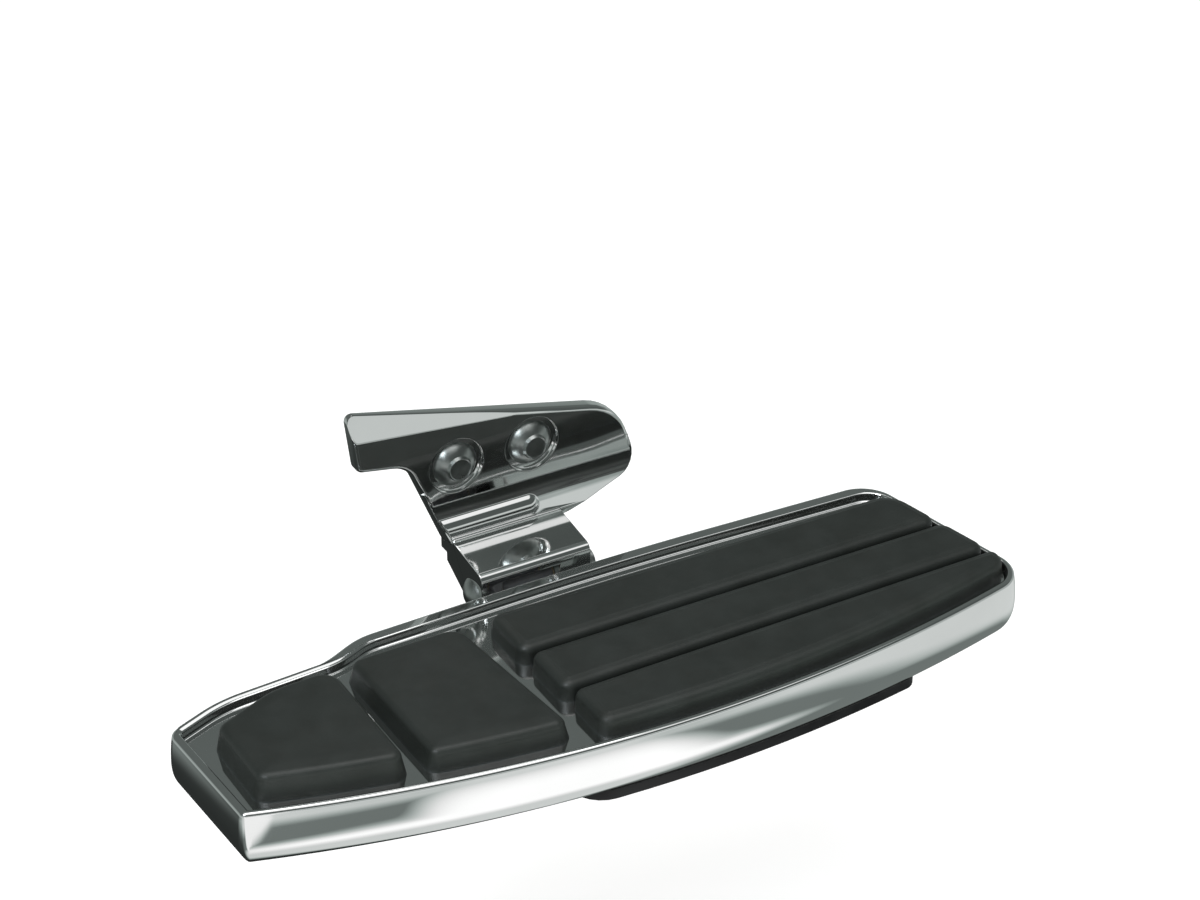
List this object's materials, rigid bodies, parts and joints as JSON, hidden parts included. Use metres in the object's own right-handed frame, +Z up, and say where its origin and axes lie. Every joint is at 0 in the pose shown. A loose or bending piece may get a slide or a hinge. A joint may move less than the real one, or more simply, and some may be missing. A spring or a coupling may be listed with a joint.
{
  "type": "motorcycle floorboard",
  "caption": "Long chromed foot platform with raised rubber pads in a recessed top, hinged to a bolt-on clevis bracket so that it folds up.",
  "frame": {"origin": "back face of the mounting bracket, midway between the two mounting bolts", "axes": "+X along the board towards the toe, +Y inboard along the mounting bolts, +Z up"},
  "size_m": [0.3519, 0.183, 0.1037],
  "materials": {
    "chrome": "polished chrome plate",
    "rubber": "matt moulded rubber",
    "black_steel": "satin black",
    "cast_steel": "dark satin coat on a casting",
    "steel": "zinc-plated steel",
    "bronze": "sintered bronze"
  },
  "bodies": {
    "mount": {"mount_bracket": "chrome", "heel_mount_bolt": "steel", "toe_mount_bolt": "steel", "hinge_pin": "steel", "spring_washer": "steel", "plain_washer": "steel", "retaining_clip": "steel"},
    "board": {"pan": "chrome", "heel_pad": "rubber", "instep_pad": "rubber", "inner_rib_pad": "rubber", "middle_rib_pad": "rubber", "outer_rib_pad": "rubber", "wear_plate": "black_steel", "wear_plate_screws": "steel", "hinge_arm": "cast_steel", "arm_screws": "steel", "arm_washers": "steel", "heel_bush": "bronze", "toe_bush": "bronze"}
  },
  "joints": [
    {"name": "board_fold", "type": "hinge", "parent": "mount", "child": "board", "pos_m": [0, -0.0295, -0.0492], "axis": [-1, 0, 0], "range_deg": [0, 45]}
  ]
}
